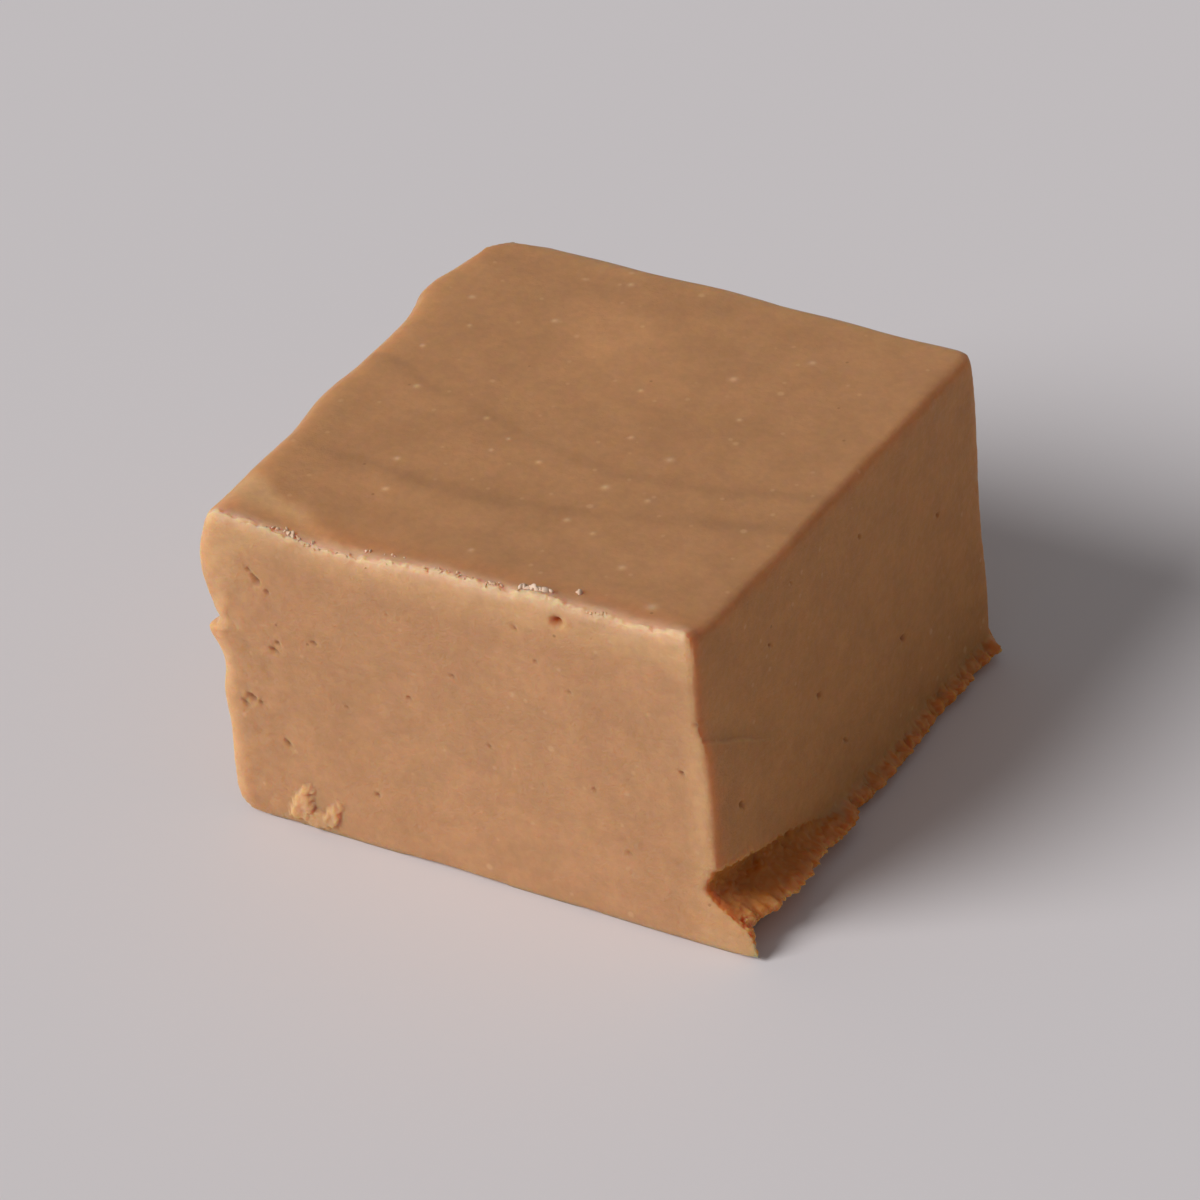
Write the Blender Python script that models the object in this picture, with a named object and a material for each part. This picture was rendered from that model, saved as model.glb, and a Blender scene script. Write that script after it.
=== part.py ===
"""A cube of fudge, cut from the corner of a tray.

Its left and back sides set against the tray and keep the tray's rounded corner. Its front and right
sides were cut, and the knife tore the foot of the right side into a ragged flange. +Z is up, the front
faces -Y, and the origin is the middle of the base.
"""

import bmesh
import bpy
import numpy as np

MM = 0.001

# The block, in millimetres. While it is shaped, its front left bottom corner is at the origin.
WIDTH = 36.3
DEPTH = 37.7
HEIGHT = 24.2
SIZE = np.array([WIDTH, DEPTH, HEIGHT])

# Each side of the block is a grid of this many cells each way, finer towards its edges.
CELLS = 28
EDGE_CROWDING = 0.62

# The sides as (axis, end), where end 0 is at the low end of the axis.
LEFT, RIGHT = (0, 0), (0, 1)
FRONT, BACK = (1, 0), (1, 1)
BASE, TOP = (2, 0), (2, 1)

# Each edge and its radius: wide where the tray's corners rounded it, tight where the knife cut it.
EDGE_RADII = (
    (LEFT, BACK, 5.2),
    (LEFT, BASE, 2.0),
    (BACK, BASE, 1.8),
    (RIGHT, BACK, 1.4),
    (LEFT, TOP, 1.0),
    (BACK, TOP, 1.0),
    (FRONT, LEFT, 0.9),
    (RIGHT, TOP, 0.7),
    (FRONT, TOP, 0.5),
    (FRONT, BASE, 0.5),
    (FRONT, RIGHT, 0.4),
    (RIGHT, BASE, 0.4),
)

# What moves a side moves the fudge behind it too, less and less down to this depth.
GIVE = 6.0

# The left side bows out a little all over, more at its swells: where along it, how high, half length,
# half height, how proud.
LEFT_BOW = 0.25
LEFT_SWELLS = (
    (0.0, 19.8, 9.0, 3.4, 1.15),
    (0.5, 14.0, 4.0, 0.9, 0.6),
    (1.0, 9.2, 5.0, 1.6, 0.4),
    (15.5, 22.0, 3.6, 5.0, 0.45),
    (29.6, 22.5, 2.4, 5.5, 0.8),
    (22.0, 8.0, 7.0, 4.0, 0.35),
)

# The top sags behind its front edge: where along it, how far back it reaches, half length, depth.
SAG_AT, SAG_REACH, SAG_SPREAD, SAG = 9.3, 5.5, 8.0, 0.75

# The knife left a lip along the front edge of the top, with beads on it: where, half length, height.
LIP_REACH, LIP_HEIGHT = 1.3, 0.15
LIP_BEADS = ((3.0, 2.2, 0.25), (16.5, 3.4, 0.25), (24.4, 1.9, 0.55), (28.8, 1.4, 0.3), (35.4, 1.3, 0.5))

# The right side leans out towards its foot and its back, and the knife left a step across it.
RIGHT_LEAN, RIGHT_SKEW, RIGHT_SET = 0.036, 0.03, -0.6
STEP_HEIGHT, STEP_FALL, STEP, STEP_SOFTNESS = 16.6, 0.6, 0.22, 0.7

# Under the cut, the foot is torn: a gouge whose top edge falls towards the back, over a flange that
# is highest at the front, widest at its peak, and dwindles behind it. Its rim is toothed and undercut.
GOUGE_TOP, GOUGE_FALL = 6.65, 0.31
GOUGE_DEPTH, GOUGE_LEAST_HEIGHT = 1.15, 0.6
DEEPEST_AT = 0.48
FLANGE_HEIGHT, FLANGE_LOW, FLANGE_FALL = 2.4, 1.2, 13.0
FLANGE_REACH, FLANGE_GAIN = 1.9, 0.09
FLANGE_PEAK, FLANGE_TAIL, FLANGE_DWINDLE = 10.0, 0.4, 6.0
TEETH, TEETH_LENGTHS = 0.3, (2.9, 1.9, 5.3)
UNDERCUT_HEIGHT, UNDERCUT_REACH = 0.4, 0.5

# At the front, the flange runs down to the ground as a pointed toe.
TOE_THICKNESS, TOE_REACH, TOE_AT_RIM = 1.6, 2.75, 0.68

# No side is quite flat. Each of these is the height of its waves and their lengths, and on a slant
# the waves lean over by so much for each millimetre across them.
LEFT_WAVES, LEFT_WAVES_START = (0.12, (13.0, 7.3)), 4.0
BACK_WAVES, BACK_WAVES_UP = (0.15, (17.0, 9.1)), (0.12, (15.0,))
FRONT_WAVES, FRONT_SLANT, FRONT_WAVES_UP = (0.12, (23.0, 11.0)), 0.4, (0.08, (14.0,))
TOP_WAVES, TOP_SLANT = (0.1, (31.0, 17.0)), 0.5
RIGHT_WAVES, RIGHT_SLANT = (0.08, (19.0, 8.0)), 0.5
WAVE_SHIFT = 1.7

SHARPEST_SMOOTH_EDGE = np.radians(40)
FUDGE_COLOUR = (0.491, 0.242, 0.124, 1.0)
FUDGE_ROUGHNESS = 0.55


def crowded(fraction):
    """Even steps from 0 to 1, moved closer together towards both ends."""
    turn = 2 * np.pi
    return fraction - EDGE_CROWDING * np.sin(turn * fraction) / turn


def eased(fraction):
    """A smooth rise from 0 to 1 as the fraction goes from 0 to 1, flat beyond."""
    held = np.clip(fraction, 0, 1)
    return held * held * (3 - 2 * held)


def hill(distance, half_width):
    """A smooth hill of height 1."""
    return np.exp(-((distance / half_width) ** 2))


def depth_below(points, side):
    """How far each point is behind a side of the plain block."""
    axis, end = side
    return SIZE[axis] - points[:, axis] if end else points[:, axis]


def round_edge(points, first, second, radius):
    """Turns the square edge between two sides into a quarter round, and draws in what lies behind it."""
    from_first = np.clip(radius - depth_below(points, first), 0, None)
    from_second = np.clip(radius - depth_below(points, second), 0, None)
    length = np.hypot(from_first, from_second)
    longer = np.maximum(from_first, from_second)
    kept = np.divide(longer, length, out=np.ones_like(length), where=length > 0)
    for (axis, end), reach in ((first, from_first), (second, from_second)):
        points[:, axis] += (-1 if end else 1) * reach * (1 - kept)


def ripple(along, *lengths):
    """An uneven wave between about -1 and 1, made of waves of the given lengths."""
    waves = [np.sin(2 * np.pi * along / length + WAVE_SHIFT * i) for i, length in enumerate(lengths)]
    return sum(waves) / len(waves)


def waves(along, height_and_lengths):
    height, lengths = height_and_lengths
    return height * ripple(along, *lengths)


def left_swell(y, z):
    swell = LEFT_BOW + waves(y, LEFT_WAVES) * eased(z / LEFT_WAVES_START)
    for at, height, half_length, half_height, proud in LEFT_SWELLS:
        swell = swell + proud * hill(y - at, half_length) * hill(z - height, half_height)
    return swell


def back_swell(x, z):
    return waves(x, BACK_WAVES) + waves(z, BACK_WAVES_UP)


def front_swell(x, z):
    return waves(x + FRONT_SLANT * z, FRONT_WAVES) + waves(z, FRONT_WAVES_UP)


def top_swell(x, y):
    """The sag, and the lip with its beads, over a top that is hardly uneven."""
    sag = SAG * hill(x - SAG_AT, SAG_SPREAD) * hill(y, SAG_REACH)
    beads = sum(height * hill(x - at, half_length) for at, half_length, height in LIP_BEADS)
    return waves(x + TOP_SLANT * y, TOP_WAVES) - sag + (LIP_HEIGHT + beads) * hill(y, LIP_REACH)


def torn_foot(y, z):
    """How far the torn foot of the right side stands out from the cut above it."""
    rim = FLANGE_LOW + (FLANGE_HEIGHT - FLANGE_LOW) * hill(y, FLANGE_FALL)
    gouge_top = np.maximum(GOUGE_TOP - GOUGE_FALL * y, rim + GOUGE_LEAST_HEIGHT)
    deepest = rim + DEEPEST_AT * (gouge_top - rim)
    gouge = -GOUGE_DEPTH * eased((gouge_top - rim) / (GOUGE_TOP - FLANGE_HEIGHT))
    teeth = 1 + TEETH * ripple(y, *TEETH_LENGTHS) * eased(y / TOE_THICKNESS)
    behind_peak = np.clip(y - FLANGE_PEAK, 0, None)
    dwindled = FLANGE_TAIL + (1 - FLANGE_TAIL) * hill(behind_peak, FLANGE_DWINDLE)
    reach = (FLANGE_REACH + FLANGE_GAIN * np.minimum(y, FLANGE_PEAK)) * teeth * dwindled
    toe = TOE_REACH * (1 - eased(y / TOE_THICKNESS))
    under = np.maximum(toe, UNDERCUT_REACH * teeth)
    heights = (0, UNDERCUT_HEIGHT * rim, rim, deepest, gouge_top)
    reaches = (under, under, np.maximum(reach, TOE_AT_RIM * toe), gouge, 0)
    foot = np.zeros_like(z)
    for low, high, low_reach, high_reach in zip(heights, heights[1:], reaches, reaches[1:]):
        between = low_reach + (high_reach - low_reach) * (z - low) / (high - low)
        foot = np.where((z >= low) & (z < high), between, foot)
    return foot


def right_swell(y, z):
    """The lean and the skew of the cut, its step, and the torn foot."""
    lean = RIGHT_SET + RIGHT_LEAN * (HEIGHT - z) + RIGHT_SKEW * y
    step = STEP * eased((STEP_HEIGHT - STEP_FALL * y - z) / STEP_SOFTNESS + 0.5)
    return lean + step + waves(y + RIGHT_SLANT * z, RIGHT_WAVES) + torn_foot(y, z)


def shape(points):
    """Moves the points of the plain block to the surface of the fudge."""
    for first, second, radius in EDGE_RADII:
        round_edge(points, first, second, radius)
    x, y, z = points.T.copy()
    swells = (
        (LEFT, left_swell(y, z)),
        (RIGHT, right_swell(y, z)),
        (FRONT, front_swell(x, z)),
        (BACK, back_swell(x, z)),
        (TOP, top_swell(x, y)),
    )
    gives = [eased(1 - depth_below(points, side) / GIVE) for side, _ in swells]
    for ((axis, end), swell), give in zip(swells, gives):
        points[:, axis] += (1 if end else -1) * swell * give


def fudge_mesh():
    mesh = bpy.data.meshes.new("fudge")
    bm = bmesh.new()
    bmesh.ops.create_cube(bm, size=1)
    bmesh.ops.subdivide_edges(bm, edges=bm.edges[:], cuts=CELLS - 1, use_grid_fill=True)
    points = crowded(np.array([vertex.co for vertex in bm.verts]) + 0.5) * SIZE
    shape(points)
    middle = (points.min(axis=0) + points.max(axis=0)) / 2
    points[:, :2] -= middle[:2]
    for vertex, point in zip(bm.verts, points):
        vertex.co = point * MM
    base = [face for face in bm.faces if all(vertex.co.z == 0 for vertex in face.verts)]
    bmesh.ops.dissolve_faces(bm, faces=base)
    bm.to_mesh(mesh)
    bm.free()
    mesh.shade_smooth()
    mesh.set_sharp_from_angle(angle=SHARPEST_SMOOTH_EDGE)
    return mesh


def fudge_material():
    material = bpy.data.materials.new("fudge")
    material.use_nodes = True
    shader = material.node_tree.nodes["Principled BSDF"]
    shader.inputs["Base Color"].default_value = FUDGE_COLOUR
    shader.inputs["Roughness"].default_value = FUDGE_ROUGHNESS
    shader.inputs["Metallic"].default_value = 0.0
    return material


for leftover in list(bpy.data.objects):
    bpy.data.objects.remove(leftover, do_unlink=True)

parts = bpy.data.collections.new("fudge_cube")
bpy.context.scene.collection.children.link(parts)
fudge = bpy.data.objects.new("fudge", fudge_mesh())
fudge.data.materials.append(fudge_material())
parts.objects.link(fudge)
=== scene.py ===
"""A cube of light brown fudge, cut from the corner of a tray, as it lies on a pale table.

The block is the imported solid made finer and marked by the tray, the skin and the knife. The crumbs on
it are a piece of their own.
"""

import math
import random

import bpy
import numpy as np
from mathutils import Matrix, Vector, noise
from mathutils.bvhtree import BVHTree


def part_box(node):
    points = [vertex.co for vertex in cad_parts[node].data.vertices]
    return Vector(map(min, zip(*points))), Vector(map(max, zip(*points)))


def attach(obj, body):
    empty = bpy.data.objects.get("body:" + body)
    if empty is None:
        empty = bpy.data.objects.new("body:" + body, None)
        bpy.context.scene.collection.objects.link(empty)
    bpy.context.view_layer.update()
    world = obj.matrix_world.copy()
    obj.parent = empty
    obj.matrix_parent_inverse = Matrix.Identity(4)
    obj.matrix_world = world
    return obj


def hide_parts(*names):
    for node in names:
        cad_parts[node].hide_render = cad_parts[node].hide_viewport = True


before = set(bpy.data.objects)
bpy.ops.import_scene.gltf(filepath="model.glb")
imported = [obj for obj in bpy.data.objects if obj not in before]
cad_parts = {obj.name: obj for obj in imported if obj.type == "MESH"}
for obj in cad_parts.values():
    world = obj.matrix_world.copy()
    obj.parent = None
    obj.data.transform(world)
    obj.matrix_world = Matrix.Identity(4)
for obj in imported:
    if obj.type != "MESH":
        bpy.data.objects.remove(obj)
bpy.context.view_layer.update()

# ---------------------------------------------------------------------------------------------------
# The block. Cooked milk fudge, poured into a tray, set, and cut twice with a knife. The left and back
# sides and the base met the tray, the top is the poured skin, and the front and right sides are cut.
# Its mesh is the solid's own, welded and rebuilt as small even faces, split finer at the marks.

MM = 0.001
WIDTH, DEPTH, HEIGHT = 36.3, 37.7, 24.2
LEFT_SWELL_OUT, FRONT_SWELL_OUT = 1.44, 0.17
FACE_SIZE = 0.34
SMOOTHINGS = 4

fudge_low, fudge_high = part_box("fudge")
corner = np.array(fudge_low) + MM * np.array([LEFT_SWELL_OUT, FRONT_SWELL_OUT, 0])


def eased(fraction):
    """A smooth rise from 0 to 1 as the fraction goes from 0 to 1, flat beyond."""
    held = np.clip(fraction, 0, 1)
    return held * held * (3 - 2 * held)


def hill(distance, half_width):
    """A smooth hill of height 1."""
    return np.exp(-((distance / half_width) ** 2))


def select_only(piece):
    bpy.ops.object.select_all(action="DESELECT")
    piece.select_set(True)
    bpy.context.view_layer.objects.active = piece


def apply_all(piece):
    select_only(piece)
    for modifier in list(piece.modifiers):
        bpy.ops.object.modifier_apply(modifier=modifier.name)


def points_of(piece):
    """Where the piece's vertices are, in millimetres from the block's front left bottom corner."""
    flat = np.empty(3 * len(piece.data.vertices), np.float32)
    piece.data.vertices.foreach_get("co", flat)
    return (flat.reshape(-1, 3).astype(float) - corner) / MM


def put_points(piece, points):
    flat = (points * MM + corner).astype(np.float32).ravel()
    piece.data.vertices.foreach_set("co", flat)
    piece.data.update()


def normals_of(piece):
    flat = np.empty(3 * len(piece.data.vertices), np.float32)
    piece.data.vertex_normals.foreach_get("vector", flat)
    return flat.reshape(-1, 3).astype(float)


def rough(points, size, octaves=3):
    """Uneven heights between about -1 and 1, with lumps of the given size, or sizes along x, y and z."""
    scaled = points / np.asarray(size)
    return np.array([noise.fractal(Vector(p), 1.0, 2.0, octaves) for p in scaled])


def toothed(along, length, shift):
    """Uneven teeth from 0 to 1, about so long, with sharp points."""
    return np.array([1 - min(1, 2.2 * abs(noise.noise(Vector((a / length, shift, 0))))) for a in along])


def in_edit_mode(piece, picked, step):
    """Picks faces of the piece by a mask and runs one edit-mode step on them."""
    select_only(piece)
    bpy.context.tool_settings.mesh_select_mode = (False, False, True)
    bpy.ops.object.mode_set(mode="EDIT")
    bpy.ops.mesh.select_all(action="DESELECT")
    bpy.ops.object.mode_set(mode="OBJECT")
    piece.data.polygons.foreach_set("select", picked)
    bpy.ops.object.mode_set(mode="EDIT")
    step()
    bpy.ops.object.mode_set(mode="OBJECT")


def face_middles(piece):
    middles = np.empty(3 * len(piece.data.polygons), np.float32)
    piece.data.polygons.foreach_get("center", middles)
    return (middles.reshape(-1, 3) - corner) / MM


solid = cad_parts["fudge"]
block = solid.copy()
block.data = solid.data.copy()
block.name = "fudge_block"
block.parent = None
bpy.context.scene.collection.objects.link(block)
select_only(block)
bpy.ops.object.mode_set(mode="EDIT")
bpy.ops.mesh.select_all(action="SELECT")
bpy.ops.mesh.remove_doubles(threshold=1e-6)
bpy.ops.object.mode_set(mode="OBJECT")
even_faces = block.modifiers.new("even_faces", "REMESH")
even_faces.mode = "VOXEL"
even_faces.voxel_size = FACE_SIZE * MM
soften = block.modifiers.new("soften", "SMOOTH")
soften.factor = 0.5
soften.iterations = SMOOTHINGS
apply_all(block)

# The base lies flat on the table, and its small faces are joined into large ones.
points = points_of(block)
points[points[:, 2] < 0.1, 2] = 0
put_points(block, points)
in_edit_mode(block, face_middles(block)[:, 2] < 1e-4, bpy.ops.mesh.dissolve_limited)

# The knife's marks, in millimetres from the front left bottom corner. The torn foot of the right side
# is a gouge under a jagged edge that falls towards the back, over a toothed rim.
TORN_TOP, TORN_FALL = 6.65, 0.31
RIM_LOW, RIM_RISE, RIM_FALL = 1.2, 1.2, 13.0
LEAST_GOUGE = 0.6
# A thin flake and a nick on the front left edge, and an open bubble just under the lip.
FLAKE_AT = 14.5
BUBBLE_AT, BUBBLE_RADIUS, BUBBLE_DEPTH = (25.75, 23.0), 0.3, 0.6
# Small pits in the front: along it, height, radius, depth.
FRONT_PITS = (
    (3.3, 19.6, 0.3, 0.3), (3.0, 19.95, 0.22, 0.25), (2.7, 20.3, 0.18, 0.2), (4.0, 19.0, 0.2, 0.2),
    (7.2, 15.8, 0.2, 0.2), (4.5, 15.0, 0.2, 0.25), (4.1, 14.3, 0.3, 0.3), (1.9, 9.7, 0.3, 0.4),
    (2.5, 9.5, 0.22, 0.3), (1.3, 9.1, 0.3, 0.25), (4.5, 6.8, 0.25, 0.3), (11.2, 4.7, 0.22, 0.25),
    (14.2, 13.5, 0.2, 0.18), (17.7, 16.4, 0.2, 0.18), (22.7, 21.6, 0.2, 0.2), (26.5, 17.8, 0.18, 0.15),
    (20.1, 11.4, 0.2, 0.15), (24.1, 19.5, 0.18, 0.15), (34.3, 13.7, 0.2, 0.3), (35.6, 17.9, 0.2, 0.2),
    (27.8, 10.4, 0.18, 0.15), (9.3, 11.2, 0.18, 0.15), (30.2, 6.1, 0.2, 0.15), (13.1, 19.8, 0.16, 0.12),
)
# Where the knife's heel pushed a smear up from the foot of the front: along it, height, half width,
# half height, how proud.
SMEARS = ((5.2, 2.0, 0.95, 1.7, 0.34), (6.4, 1.3, 1.4, 0.9, 0.24), (7.6, 1.9, 0.85, 1.3, 0.32))
# Small swollen grains in the top skin: along it, how far back, radius.
TOP_GRAINS = (
    (3.0, 29.2, 0.3), (3.0, 22.6, 0.25), (5.1, 18.2, 0.3), (11.2, 16.9, 0.25), (8.2, 10.3, 0.3),
    (9.2, 7.1, 0.3), (17.7, 3.5, 0.25), (22.2, 13.1, 0.35), (21.7, 8.9, 0.3), (24.0, 8.2, 0.25),
    (24.6, 17.5, 0.35), (21.0, 18.8, 0.25), (23.9, 27.6, 0.35), (26.5, 23.5, 0.25), (27.7, 31.6, 0.3),
    (9.5, 29.1, 0.3), (4.6, 26.1, 0.2), (25.5, 12.8, 0.25), (27.6, 5.6, 0.35), (31.5, 2.5, 0.5),
    (13.3, 13.8, 0.22), (16.8, 13.9, 0.25), (13.7, 15.4, 0.2), (12.1, 35.0, 0.3), (18.9, 23.9, 0.22),
)
# Shallow open bubbles in the right, left and back sides, in the same way as the pits in the front.
RIGHT_PITS = (
    (3.6, 9.6, 0.3, 0.4), (9.0, 18.5, 0.22, 0.25), (14.5, 11.0, 0.25, 0.3), (21.0, 19.5, 0.2, 0.25),
    (25.5, 8.5, 0.3, 0.3), (31.0, 15.0, 0.22, 0.25), (17.0, 5.8, 0.2, 0.2), (12.0, 21.5, 0.18, 0.2),
)
LEFT_PITS = ((12.0, 12.0, 0.3, 0.25), (20.0, 17.0, 0.25, 0.2), (27.0, 9.0, 0.3, 0.25), (8.0, 5.0, 0.25, 0.2))
BACK_PITS = ((9.0, 15.0, 0.3, 0.25), (16.0, 7.0, 0.25, 0.2), (24.0, 18.0, 0.3, 0.25), (30.0, 10.0, 0.25, 0.2))
SPREAD = 2.2


def rim_height(y):
    return RIM_LOW + RIM_RISE * hill(y, RIM_FALL)


def torn_edge(y):
    """The height of the jagged edge over the torn foot."""
    return np.maximum(TORN_TOP - TORN_FALL * y, rim_height(y) + LEAST_GOUGE)


def near_foot(p):
    return (p[:, 0] > WIDTH - 2.4) & (p[:, 2] < torn_edge(p[:, 1]) + 0.9) & (p[:, 2] > 0.02)


def near_lip(p):
    return (p[:, 1] < 1.3) & (p[:, 2] > HEIGHT - 1.7)


def near_left_edge(p):
    return (p[:, 0] < 0.8) & (p[:, 1] < 2.5) & (abs(p[:, 2] - FLAKE_AT) < 2.4)


def near_smears(p):
    return (p[:, 1] < 1) & (abs(p[:, 0] - 6.4) < 3) & (p[:, 2] < 4.4) & (p[:, 2] > 0.02)


def step_height(y):
    """How high the knife's step across the right side is."""
    return 16.6 - 0.6 * y


def near_step(p):
    return (p[:, 0] > WIDTH - 2.4) & (p[:, 1] < 10) & (abs(p[:, 2] - step_height(p[:, 1])) < 0.7)


def near_marks(p):
    near = np.zeros(len(p), bool)
    for along, up, radius, _ in FRONT_PITS + ((*BUBBLE_AT, BUBBLE_RADIUS, BUBBLE_DEPTH),):
        near |= (np.hypot(p[:, 0] - along, p[:, 2] - up) < SPREAD * radius) & (p[:, 1] < 1)
    for along, back, radius in TOP_GRAINS:
        near |= (np.hypot(p[:, 0] - along, p[:, 1] - back) < SPREAD * radius) & (p[:, 2] > HEIGHT - 2)
    for back, up, radius, _ in RIGHT_PITS:
        near |= (np.hypot(p[:, 1] - back, p[:, 2] - up) < SPREAD * radius) & (p[:, 0] > WIDTH - 3)
    for back, up, radius, _ in LEFT_PITS:
        near |= (np.hypot(p[:, 1] - back, p[:, 2] - up) < SPREAD * radius) & (p[:, 0] < 3)
    for along, up, radius, _ in BACK_PITS:
        near |= (np.hypot(p[:, 0] - along, p[:, 2] - up) < SPREAD * radius) & (p[:, 1] > DEPTH - 3)
    return near


middles = face_middles(block)
fine = near_foot(middles) | near_lip(middles) | near_left_edge(middles)
fine |= near_smears(middles) | near_step(middles) | near_marks(middles)
in_edit_mode(block, fine, lambda: bpy.ops.mesh.subdivide(number_cuts=2))

points = points_of(block)
normals = normals_of(block)
x, y, z = points.T
on_top = eased((normals[:, 2] - 0.5) / 0.35)
on_front = eased((-normals[:, 1] - 0.5) / 0.3)
on_back = eased((normals[:, 1] - 0.5) / 0.3)
on_left = eased((-normals[:, 0] - 0.5) / 0.3)
on_right = eased((normals[:, 0] - 0.5) / 0.3) * (x > WIDTH / 2)
right_of = eased((x - (WIDTH - 2.5)) / 0.8)
above_table = eased(z / 0.5)

# The knife: a fine grain, and drag lines along its way. Its step is a narrow ledge.
grain = 0.022 * rough(points, 1.1) + 0.012 * rough(points + 40, 0.45, 2)
drag = 0.018 * rough(points, (9.0, 9.0, 0.5), 2)
cut = np.maximum(on_front, on_right)
moved = normals * ((grain + drag) * cut)[:, None]
over_step = z - step_height(y) - 0.15 * rough(points, 2.5, 2)
step_fade = eased((9.5 - y) / 5) * on_right
ledge = hill(over_step - 0.06, 0.11) * step_fade
moved[:, 0] -= 0.17 * eased(over_step / 0.16) * hill(np.clip(over_step, 0, None), 3) * step_fade
# Near the tray's side the front came away rough.
moved[:, 1] += 0.09 * rough(points + 83, (0.7, 0.7, 1.1), 3) * hill(x - 1.5, 3.5) * on_front * eased((22 - z) / 4)
# The tray: longer waves, and a fine orange peel.
tray = np.maximum(on_left, on_back)
moved += normals * ((0.05 * rough(points + 11, 4.5, 3) + 0.01 * rough(points, 0.8, 2)) * tray)[:, None]
# The skin: nearly smooth, drawn down a little at the front left corner.
moved += normals * ((0.012 * rough(points + 23, 2.2, 3)) * on_top)[:, None]
to_corner = 1 - x / 13.5 - y / 5.8 + 0.08 * rough(points + 61, 1.5, 2)
corner_slope = eased(to_corner / 0.24) * on_top
moved[:, 2] -= 0.16 * corner_slope

# The torn foot. Its upper edge overhangs in small teeth, the gouge behind is deep and crumbly, and the
# rim below is jagged.
edge = torn_edge(y) - 0.35 * toothed(y, 0.75, 3.0) - 0.12 * toothed(y, 0.3, 8.0) + 0.2
below_edge = edge - z
gouge_height = edge - rim_height(y)
in_gouge = eased(below_edge / 0.3) * eased((gouge_height - below_edge) / (0.35 * gouge_height))
tear = eased(gouge_height / 3.5)
overhang = (0.12 + 0.1 * toothed(y, 0.6, 5.0)) * np.exp(-np.abs(below_edge) / 0.7) * (below_edge < 0)
moved[:, 0] += right_of * tear * (overhang - 0.5 * in_gouge * eased((y + 0.3) / 1.8))
crumble = 0.12 * rough(points, 0.8, 4) + 0.06 * rough(points + 5, 0.3, 3)
torn = right_of * eased(below_edge / 0.25) * (1 - on_front)
toe = torn * hill(y - 0.9, 1.1) * (z < rim_height(y) + 0.4)
moved += normals * (crumble * torn * (1 + 1.6 * toe))[:, None]
rim = hill(z - rim_height(y), 0.5) * right_of
jag = 0.5 * toothed(y, 1.3, 12.0) + 0.25 * toothed(y, 0.5, 15.0) - 0.45
moved[:, 0] += rim * jag * eased((y - 0.4) / 1.2)
moved[:, 2] += rim * 0.25 * rough(points + 60, 1.1, 2) * eased(y)

# The lip and the cut edges: slightly crumbled, with a thin upright crest.
lip = hill(np.hypot(np.clip(y, 0, None), np.clip(HEIGHT - z, 0, None)), 0.9)
stations = np.arange(0, WIDTH, 0.5)
ridge = [z[(abs(x - at) < 0.4) & (y < 1)].max() for at in stations]
below_ridge = np.interp(x, stations, ridge) - z
lip_end = eased((35.2 - x) / 0.3)
crest = hill(y - 0.25, 0.3) * (below_ridge < 1) * lip_end
crest_height = 0.14 + 0.24 * rough(np.c_[x, 0 * x, 0 * x], 1.2, 4) + 0.14 * rough(points + 9, 0.45, 3)
moved[:, 2] += np.clip(crest_height, -0.05, 0.4) * crest
moved[:, 1] += 0.08 * rough(points + 37, (1.0, 0.5, 0.5), 3) * lip
# The flake on the left edge, over a nick.
flake = 0.6 * eased((z - (FLAKE_AT - 1.5)) / 1.5) * eased((FLAKE_AT + 0.5 - z) / 0.45)
nick = -0.35 * hill(z - (FLAKE_AT + 1.05), 0.45)
moved[:, 0] -= (flake + nick) * hill(y, 1.5) * (x < 1.2)

# The smears at the foot of the front: soft lumps with a steep lower edge.
smear = np.zeros(len(x))
ragged_edge = 0.55 * rough(points + 50, 0.9, 3)
for along, up, half_width, half_height, proud in SMEARS:
    slump = np.where(z < up, 0.7, 1.0) * half_height
    sideways = x - along - 0.35 * (z - up)
    inside = 1 - np.hypot(sideways / half_width, (z - up) / slump) + ragged_edge
    smear = np.maximum(smear, proud * eased(inside / 0.35) * on_front)
moved[:, 1] -= smear * (0.85 + 0.5 * rough(points + 71, 0.7, 3))
moved[:, 2] -= 0.4 * smear

# Pits and bubbles, and the swollen grains of the skin.
wobble = rough(points + 17, 0.4, 2)
bubble = hill(np.hypot((x - BUBBLE_AT[0]) * 0.85, z - BUBBLE_AT[1]), BUBBLE_RADIUS) * (y < 1.5)
moved[:, 1] += BUBBLE_DEPTH * bubble
# This also gathers where the pits and the bubble get their painted shade.
painted_pit_shade = bubble
for side, pits, along_axis, sign in (
    (on_front, FRONT_PITS, 0, 1), (on_back, BACK_PITS, 0, -1),
    (on_right, RIGHT_PITS, 1, -1), (on_left, LEFT_PITS, 1, 1),
):
    for along, up, radius, depth in pits:
        sideways, upwards = points[:, along_axis] - along, z - up + 0.4 * (points[:, along_axis] - along)
        pit = hill(np.hypot(sideways, 1.2 * upwards) * (1 + 0.5 * wobble), 0.85 * radius) * side
        painted_pit_shade = np.maximum(painted_pit_shade, pit * min(1, depth / 0.3))
        moved[:, 1 - along_axis] += sign * depth * pit
grains = np.zeros(len(x))
for along, back, radius in TOP_GRAINS:
    grains = np.maximum(grains, hill(np.hypot(x - along, y - back), 0.75 * radius) * on_top)
moved[:, 2] += 0.05 * grains
moved *= above_table[:, None]
put_points(block, points + moved)


def keep(piece, name, values):
    """Stores one number for each vertex, for the piece's material to read."""
    stored = piece.data.attributes.new(name, "FLOAT", "POINT")
    stored.data.foreach_set("value", np.clip(values, -1, 1).astype(np.float32))


# Painted light: the front is painted paler along its left and right edges and under the lip, and so is the left side
# by the front edge, where light shines through the thin fudge. The top's front left corner is painted paler too,
# because it leans towards the lamp. The smears at the foot of the front are painted paler with them.
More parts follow.
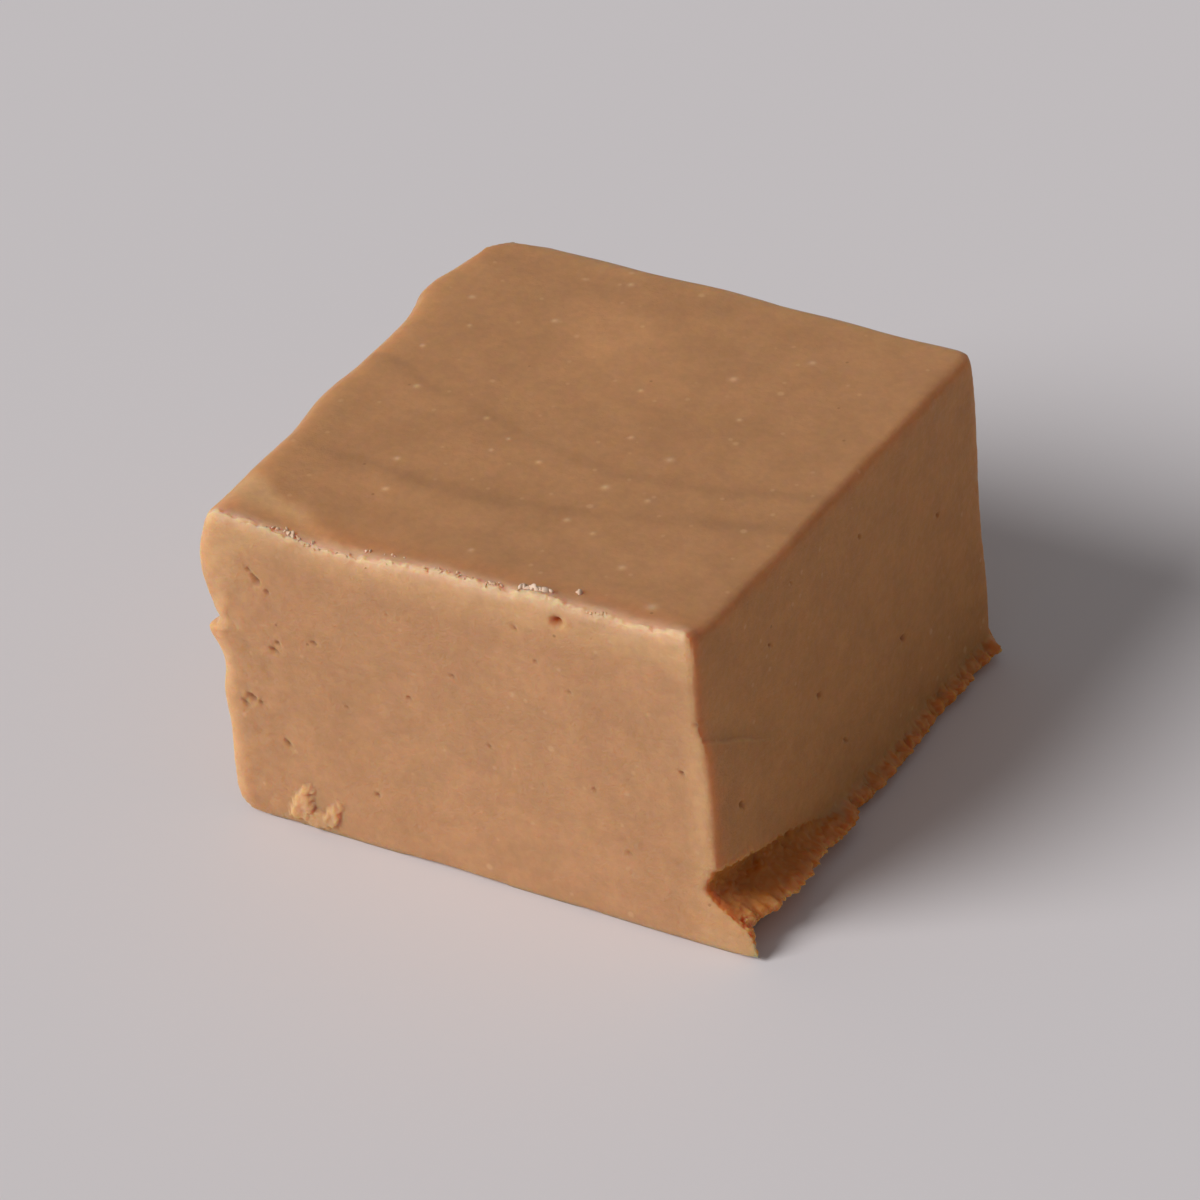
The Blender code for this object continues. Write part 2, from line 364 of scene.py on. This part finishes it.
left_edge_light = on_front * hill(x, 0.9 + 0.9 * eased((z - 17) / 4)) + on_left * hill(y, 1.5)
right_edge_light = on_front * hill(np.clip(WIDTH - 0.6 - x, 0, None), 1.0)
under_lip_light = on_front * eased((z - 20.6) / 2.6)
# The top's left and back edges are painted paler: partly a thinner skin, partly painted light shining through the thin
# edge.
thin_lit_skin_edge = on_top * hill(np.minimum(np.abs(x), np.abs(DEPTH - y)), 1.6)
keep(block, "skin", on_top)
keep(block, "tray", tray * (1 - on_top))
# The torn foot is painted a strong orange: painted light shining through the thin broken fudge.
keep(block, "torn", torn)
# The foot's jagged rim and toe are painted paler, partly as crumbled fudge and partly as painted highlight where they
# catch the light. The knife's ledge gets a thin painted highlight line.
keep(block, "ragged_pale_and_lit", np.maximum(rim, toe) * eased(0.6 + rough(points + 29, 0.5, 2)) + 1.5 * ledge)
crest_width = 0.56 + 0.14 * eased(x / 20) + 0.18 * rough(points + 13, 1.6, 2)
ridge_gap = np.hypot(np.clip(y - 0.4, 0, None), np.clip(below_ridge - 0.12, 0, None))
keep(block, "crest", hill(ridge_gap, crest_width) * lip_end)
keep(block, "edge_light_and_pale_smear", left_edge_light + 0.6 * right_edge_light + 0.8 * under_lip_light + 2.5 * smear + 0.95 * corner_slope)
# Painted shade: the right side, but for its torn foot, is painted a darker, redder brown, as if it lay in shade.
keep(block, "painted_shade", on_right * (1 - torn))
keep(block, "rim", 0.8 * thin_lit_skin_edge)
# Painted shade: the pits and the bubble are painted darker, as shade falls into them.
keep(block, "painted_pit_shade", painted_pit_shade)
# The open bubble is painted orange: painted light shining through its thin walls.
keep(block, "bubble", bubble)
keep(block, "grain", grains)
# Painted light: the top just behind the lip, the right side by the front edge and the foot's rim are painted orange,
# as light shining through the thin fudge there would make them.
keep(block, "painted_glow", 1.3 * on_top * hill(y - 1.0, 1.5) + 0.5 * on_right * hill(y, 1.3) + 0.3 * rim)

# How the skin was spread: two thin dark lines and the paler fudge between and beyond them.
FIRST_LINE = ((0.0, 9.6), (3.2, 9.5), (11.1, 8.7), (16.2, 8.9), (23.9, 10.3), (28.6, 11.7), (36.0, 14.0))
SECOND_LINE = ((1.0, 20.5), (5.1, 19.0), (11.3, 17.3), (16.1, 15.8), (22.2, 14.9), (29.0, 15.6), (36.0, 18.0))


def line_at(line, along):
    """How far back a line through the given points is, so far along."""
    at, back = np.array(line).T
    return np.interp(along, at, back)


wander = 0.25 * rough(points, 3.0, 2)
fade = 0.35 + 0.65 * eased(0.5 + rough(points, 6.0, 2))
dark = 0.9 * hill(y - line_at(FIRST_LINE, x) + wander, 0.5) + 0.7 * hill(y - line_at(SECOND_LINE, x) + wander, 0.55)
dark = (dark * fade + 0.35 * hill(y - 4.2, 1.5)) * (1 - corner_slope)
pale = 0.45 * hill(np.hypot((x - 14.5) / 2.2, y - 13.4), 2.6) + 0.9 * hill(np.hypot(x - 14.7, y - 27.8), 3.4)
keep(block, "swirl", (pale - dark + 0.25 * rough(points + 90, (14.0, 4.0, 4.0), 3)) * on_top)
select_only(block)
bpy.ops.object.shade_smooth()


def linear(hex_colour):
    """The linear colour of an sRGB hex value."""
    parts = [int(hex_colour[i : i + 2], 16) / 255 for i in (1, 3, 5)]
    parts = [c / 12.92 if c <= 0.04045 else ((c + 0.055) / 1.055) ** 2.4 for c in parts]
    return (*parts, 1.0)


def add(tree, kind, inputs=(), **settings):
    """Adds a node with its settings, and feeds its inputs with values or with other nodes' sockets."""
    made = tree.nodes.new(kind)
    for name, value in settings.items():
        setattr(made, name, value)
    for name, value in dict(inputs).items():
        if isinstance(value, bpy.types.NodeSocket):
            tree.links.new(value, made.inputs[name])
        else:
            made.inputs[name].default_value = value
    return made


def mix(tree, share, first, second):
    """One colour laid over another, by share."""
    return add(tree, "ShaderNodeMix", {0: share, 6: first, 7: second}, data_type="RGBA").outputs[2]


def attribute(tree, name):
    return add(tree, "ShaderNodeAttribute", attribute_name=name).outputs["Fac"]


def times(tree, first, second):
    return add(tree, "ShaderNodeMath", {0: first, 1: second}, operation="MULTIPLY").outputs[0]


def ranged(tree, value, low, high, to_low=0.0, to_high=1.0):
    inputs = {"Value": value, "From Min": low, "From Max": high, "To Min": to_low, "To Max": to_high}
    return add(tree, "ShaderNodeMapRange", inputs, interpolation_type="SMOOTHSTEP").outputs[0]


def dots(tree, place, spacing, radius, share):
    """Round specks the given number of millimetres apart, in the given share of the places."""
    cells = add(tree, "ShaderNodeTexVoronoi", {"Vector": place, "Scale": 1 / (spacing * MM)})
    inside = ranged(tree, cells.outputs["Distance"], radius / spacing, 0.4 * radius / spacing)
    pick = add(tree, "ShaderNodeSeparateColor", {0: cells.outputs["Color"]}).outputs[0]
    chosen = add(tree, "ShaderNodeMath", {0: pick, 1: share}, operation="LESS_THAN").outputs[0]
    return times(tree, inside, chosen)


# Cooked milk fudge: fine sugar crystals in a brown syrup, dull where cut, satin on the skin. Light goes a few
# millimetres into it, red the furthest, so its edges are lit from within and its shaded sides turn dark red-brown.
# More of this light and shade is painted into its colour as well: painted shade on the right side and in the pits,
# painted orange light in the lip, the torn foot and the bubble, and painted light on the pale edges, the rim and the
# knife's ledge.
CUT_COLOUR, SKIN_COLOUR, TRAY_COLOUR = "#C4936A", "#BE8B60", "#BE8D62"
TORN_GLOW_COLOUR, RAGGED_PALE_AND_LIT_COLOUR, CREST_COLOUR, BUBBLE_GLOW_COLOUR = "#C2701C", "#D2A06A", "#E6C3A0", "#CC6A22"
THIN_LIT_SKIN_EDGE_COLOUR, EDGE_LIGHT_AND_SMEAR_COLOUR, PAINTED_GLOW_COLOUR, PIT_SHADE_COLOUR = "#D09C69", "#DCB080", "#D68C58", "#985C32"
# Painted shade for the right side.
PAINTED_SHADE_COLOUR = "#C08550"
GRAIN_COLOUR, PALE_SPECK, DARK_SPECK, RED_SPECK = "#E3BB94", "#DDB48C", "#7A4C2A", "#C07048"

fudge = bpy.data.materials.new("cooked_milk_fudge")
fudge.use_nodes = True
tree = fudge.node_tree
shader = tree.nodes["Principled BSDF"]
place = add(tree, "ShaderNodeTexCoord").outputs["Object"]


def grainy(size, detail=3.0, roughness=0.5):
    """A noise with lumps of the given size in millimetres."""
    inputs = {"Vector": place, "Scale": 1 / (size * MM), "Detail": detail, "Roughness": roughness}
    return add(tree, "ShaderNodeTexNoise", inputs).outputs["Fac"]


colour = mix(tree, attribute(tree, "tray"), linear(CUT_COLOUR), linear(TRAY_COLOUR))
colour = mix(tree, attribute(tree, "skin"), colour, linear(SKIN_COLOUR))
# Painted light and shade are laid on here over the fudge's own tones: the shaded right side, the pits' shade, the
# orange light in the lip, the torn foot and the bubble, and the paler lit edges, rim and ledge.
for name, share, laid in (
    ("painted_shade", 1.0, PAINTED_SHADE_COLOUR),
    ("rim", 0.8, THIN_LIT_SKIN_EDGE_COLOUR),
    ("torn", 0.9, TORN_GLOW_COLOUR),
    ("ragged_pale_and_lit", 0.55, RAGGED_PALE_AND_LIT_COLOUR),
    ("edge_light_and_pale_smear", 0.7, EDGE_LIGHT_AND_SMEAR_COLOUR),
    ("painted_glow", 0.45, PAINTED_GLOW_COLOUR),
    ("crest", 0.72, CREST_COLOUR),
    ("grain", 0.6, GRAIN_COLOUR),
    ("painted_pit_shade", 0.7, PIT_SHADE_COLOUR),
    ("bubble", 0.9, BUBBLE_GLOW_COLOUR),
):
    colour = mix(tree, times(tree, attribute(tree, name), share), colour, linear(laid))
shade = ranged(tree, attribute(tree, "swirl"), -1.0, 1.0, 0.86, 1.14)
shade = times(tree, shade, ranged(tree, grainy(2.6), 0.3, 0.7, 0.95, 1.05))
shade = times(tree, shade, ranged(tree, grainy(0.6), 0.3, 0.7, 0.96, 1.04))
colour = add(tree, "ShaderNodeHueSaturation", {"Value": shade, "Color": colour}).outputs[0]
for spacing, radius, share, strength, laid in (
    (1.3, 0.22, 0.35, 0.3, PALE_SPECK),
    (2.6, 0.34, 0.3, 0.4, PALE_SPECK),
    (2.1, 0.16, 0.2, 0.45, DARK_SPECK),
    (1.7, 0.25, 0.25, 0.15, RED_SPECK),
):
    colour = mix(tree, times(tree, dots(tree, place, spacing, radius, share), strength), colour, linear(laid))
tree.links.new(colour, shader.inputs["Base Color"])
satin = ranged(tree, grainy(1.5), 0.3, 0.7, 0.36, 0.46)
dull = ranged(tree, grainy(0.5), 0.3, 0.7, 0.55, 0.7)
roughness = add(tree, "ShaderNodeMix", {0: attribute(tree, "skin"), 2: dull, 3: satin}).outputs[0]
tree.links.new(roughness, shader.inputs["Roughness"])
height = add(tree, "ShaderNodeMath", {0: grainy(0.3, 4.0, 0.6), 1: grainy(0.9)}, operation="ADD")
strength = add(tree, "ShaderNodeMix", {0: attribute(tree, "skin"), 2: 0.9, 3: 0.2}).outputs[0]
bump = add(tree, "ShaderNodeBump", {"Height": height.outputs[0], "Strength": strength, "Distance": 0.1 * MM})
tree.links.new(bump.outputs[0], shader.inputs["Normal"])
shader.inputs["Subsurface Weight"].default_value = 1.0
shader.inputs["Subsurface Radius"].default_value = (1.0, 0.36, 0.12)
shader.inputs["Subsurface Scale"].default_value = 2.2 * MM
shader.inputs["IOR"].default_value = 1.45
shader.inputs["Specular IOR Level"].default_value = 0.3
block.data.materials.clear()
block.data.materials.append(fudge)
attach(block, "root")
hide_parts("fudge")

# ---------------------------------------------------------------------------------------------------
# The crumbs. Dry bits of the lip, most of them pale with sugar. One lump is shaped from a ball and
# copied, each copy with its own mesh, turned and dropped onto the block.

CRUMB_COLOUR, PALE_CRUMB_COLOUR = "#D9AE82", "#EACDB4"
# Clusters: along the lip, how far back, half length, half width, how many, smallest and largest size,
# and how white.
CLUSTERS = (
    (23.8, 0.9, 1.0, 0.24, 26, 0.25, 0.5, 1.0), (26.5, 2.0, 0.25, 0.1, 3, 0.25, 0.45, 0.8),
    (5.6, 0.75, 1.0, 0.35, 14, 0.14, 0.34, 0.6), (7.4, 0.7, 0.3, 0.12, 3, 0.15, 0.3, 0.5),
    (11.4, 1.0, 0.25, 0.1, 3, 0.15, 0.3, 0.8), (13.1, 1.1, 0.7, 0.2, 4, 0.12, 0.25, 0.6),
    (18.0, 0.5, 1.6, 0.2, 12, 0.1, 0.26, 0.5), (21.5, 0.45, 0.9, 0.2, 9, 0.1, 0.28, 0.5),
    (8.0, 0.3, 5.0, 0.25, 12, 0.1, 0.24, 0.0), (19.0, 0.3, 6.0, 0.25, 14, 0.1, 0.24, 0.0),
    (28.5, 0.4, 1.2, 0.2, 8, 0.1, 0.26, 0.1),
)
surface = BVHTree.FromPolygons([v.co for v in block.data.vertices], [p.vertices for p in block.data.polygons])
dice = random.Random(8)

bpy.ops.object.select_all(action="DESELECT")
bpy.ops.mesh.primitive_ico_sphere_add(subdivisions=2, radius=0.5 * MM)
lump = bpy.context.object
lump.name = "crumb"
for vertex in lump.data.vertices:
    vertex.co *= 1 + 0.35 * noise.noise(vertex.co * 1900) + 0.2 * noise.noise(vertex.co * 4200)
    vertex.co.z *= 0.7
crumbs = []
for along, back, half_length, half_width, count, smallest, largest, white in CLUSTERS:
    for _ in range(count):
        spot = np.array([along + dice.gauss(0, 0.5) * half_length, back + dice.gauss(0, 0.5) * half_width, 30])
        found = surface.ray_cast(Vector(spot * MM + corner), Vector((0, 0, -1)))
        if found[0] is None:
            continue
        size = dice.uniform(smallest, largest)
        crumb = lump.copy()
        crumb.data = lump.data.copy()
        keep(crumb, "white", np.full(len(crumb.data.vertices), white))
        turned = [dice.uniform(0, math.tau) for _ in range(3)]
        crumb.scale = (size * dice.uniform(0.8, 1.5), size, size * dice.uniform(0.6, 1.0))
        crumb.rotation_euler = turned
        crumb.location = found[0] + found[1] * size * 0.12 * MM
        bpy.context.scene.collection.objects.link(crumb)
        crumbs.append(crumb)
bpy.data.objects.remove(lump)
bpy.ops.object.select_all(action="DESELECT")
for crumb in crumbs:
    crumb.select_set(True)
bpy.context.view_layer.objects.active = crumbs[0]
bpy.ops.object.join()
crumbs = bpy.context.object
crumbs.name = "sugar_crumbs"
bpy.ops.object.transform_apply(location=True, rotation=True, scale=True)
bpy.ops.object.shade_smooth()

sugar = bpy.data.materials.new("dry_sugar_crumb")
sugar.use_nodes = True
tree = sugar.node_tree
shader = tree.nodes["Principled BSDF"]
place = add(tree, "ShaderNodeTexCoord").outputs["Object"]
blotch = ranged(tree, add(tree, "ShaderNodeTexNoise", {"Vector": place, "Scale": 1 / (0.8 * MM)}).outputs[0], 0.3, 0.5)
whiteness = times(tree, blotch, attribute(tree, "white"))
colour = mix(tree, whiteness, linear(CRUMB_COLOUR), linear(PALE_CRUMB_COLOUR))
tree.links.new(colour, shader.inputs["Base Color"])
shader.inputs["Roughness"].default_value = 0.6
crumbs.data.materials.clear()
crumbs.data.materials.append(sugar)
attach(crumbs, "root")

# ---------------------------------------------------------------------------------------------------
# The table. A plain pale top, lit by one large soft lamp from the front left and a weak even light.

TABLE_COLOUR = "#DFDADC"

bpy.ops.mesh.primitive_plane_add(size=6.0, location=(0, 0, 0))
table = bpy.context.object
table.name = "table_top"
paint = bpy.data.materials.new("matt_pale_laminate")
paint.use_nodes = True
paint.node_tree.nodes["Principled BSDF"].inputs["Base Color"].default_value = linear(TABLE_COLOUR)
paint.node_tree.nodes["Principled BSDF"].inputs["Roughness"].default_value = 0.85
table.data.materials.append(paint)

KEY_FROM, KEY_ANGLE, KEY_STRENGTH = Vector((-0.50, -0.62, 0.62)), 32.0, 2.6
WORLD_COLOUR, WORLD_STRENGTH = "#F8F6F6", 0.22
BACKDROP_COLOUR, BACKDROP_STRENGTH = "#E4DFDF", 0.75

key_data = bpy.data.lights.new("key", "SUN")
key_data.angle = math.radians(KEY_ANGLE)
key_data.energy = KEY_STRENGTH
key = bpy.data.objects.new("key", key_data)
key.rotation_euler = (-KEY_FROM).to_track_quat("-Z", "Y").to_euler()
bpy.context.scene.collection.objects.link(key)

world = bpy.data.worlds.new("soft_room")
world.use_nodes = True
tree = world.node_tree
room = tree.nodes["Background"]
room.inputs["Color"].default_value = linear(WORLD_COLOUR)
room.inputs["Strength"].default_value = WORLD_STRENGTH
backdrop_inputs = {"Color": linear(BACKDROP_COLOUR), "Strength": BACKDROP_STRENGTH}
backdrop = add(tree, "ShaderNodeBackground", backdrop_inputs).outputs[0]
seen = add(tree, "ShaderNodeLightPath").outputs["Is Camera Ray"]
either = add(tree, "ShaderNodeMixShader", {0: seen, 1: room.outputs[0], 2: backdrop}).outputs[0]
tree.links.new(either, tree.nodes["World Output"].inputs["Surface"])
bpy.context.scene.world = world
bpy.context.scene.view_settings.view_transform = "Standard"

# ---------------------------------------------------------------------------------------------------
# The camera, from the front right and above, with a long lens.

CAMERA_AT = Vector((191.2, -318.9, 273.6)) * MM
CAMERA_AIM = Vector((-1.0, -0.4, 10.5)) * MM
CAMERA_ROLL = math.radians(-3.7)
CAMERA_LENS = 205.0

camera_data = bpy.data.cameras.new("camera")
camera_data.lens = CAMERA_LENS
camera_data.sensor_width = 36.0
camera_data.clip_start = 0.01
camera = bpy.data.objects.new("camera", camera_data)
look = (CAMERA_AIM - CAMERA_AT).to_track_quat("-Z", "Y").to_matrix().to_4x4()
camera.matrix_world = Matrix.Translation(CAMERA_AT) @ look @ Matrix.Rotation(CAMERA_ROLL, 4, "Z")
bpy.context.scene.collection.objects.link(camera)
bpy.context.scene.camera = camera
